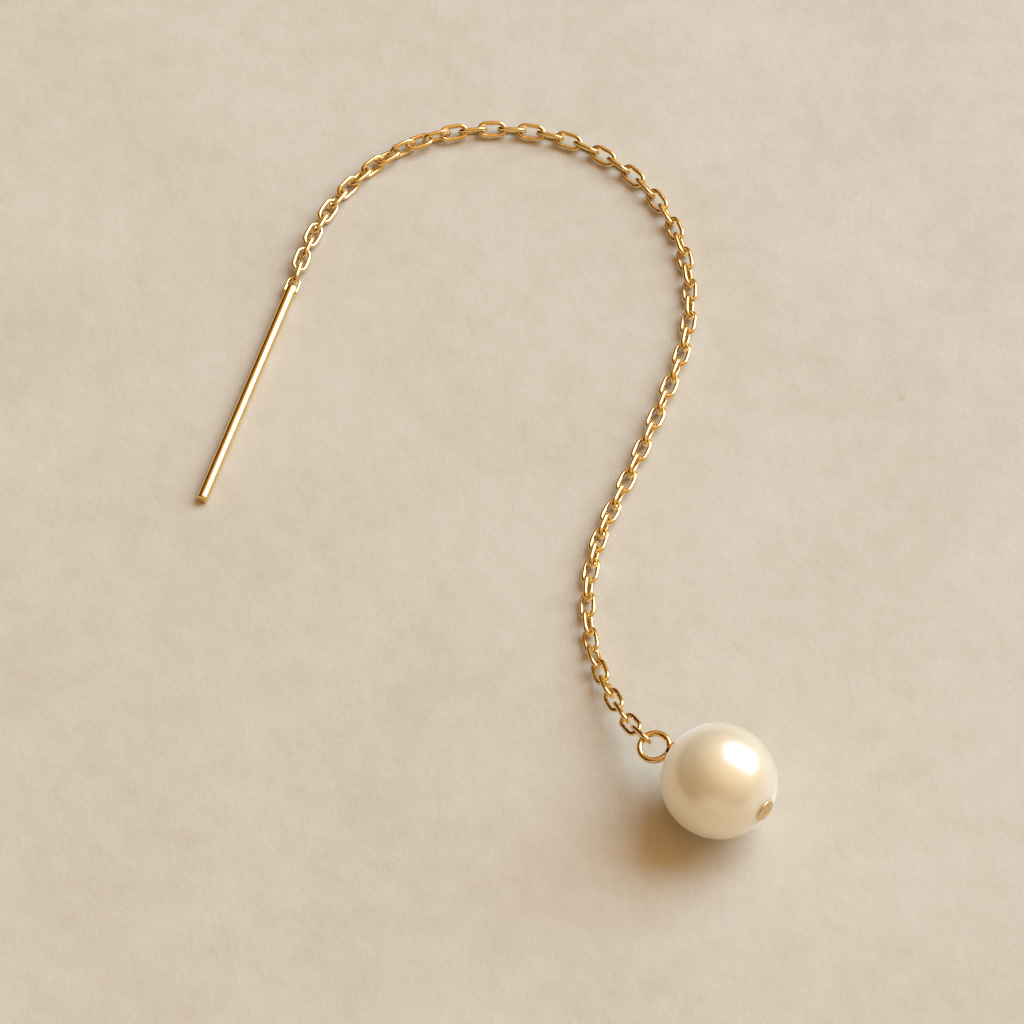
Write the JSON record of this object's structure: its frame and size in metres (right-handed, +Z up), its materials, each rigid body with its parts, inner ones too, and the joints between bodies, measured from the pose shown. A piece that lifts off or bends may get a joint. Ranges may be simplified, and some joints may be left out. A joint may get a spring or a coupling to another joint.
{
  "type": "threader earring",
  "caption": "Threader earring lying on a surface: a thin gold bar that is drawn through the ear, a fine cable chain and a round pearl on a pin with a ring.",
  "frame": {"origin": "on the surface that the earring lies on, under the middle of its outline", "axes": "+Z up from the surface; the pearl lies towards -Y and +X, the bend of the chain towards +Y and the bar towards -X"},
  "size_m": [0.0408, 0.0642, 0.008],
  "materials": {
    "gold": "polished gold plating on brass",
    "pearl": "cream nacre with a soft lustre"
  },
  "bodies": {
    "root": {"threader_bar": "gold", "chain": "gold", "eye_pin": "gold", "pearl": "pearl"}
  },
  "joints": []
}
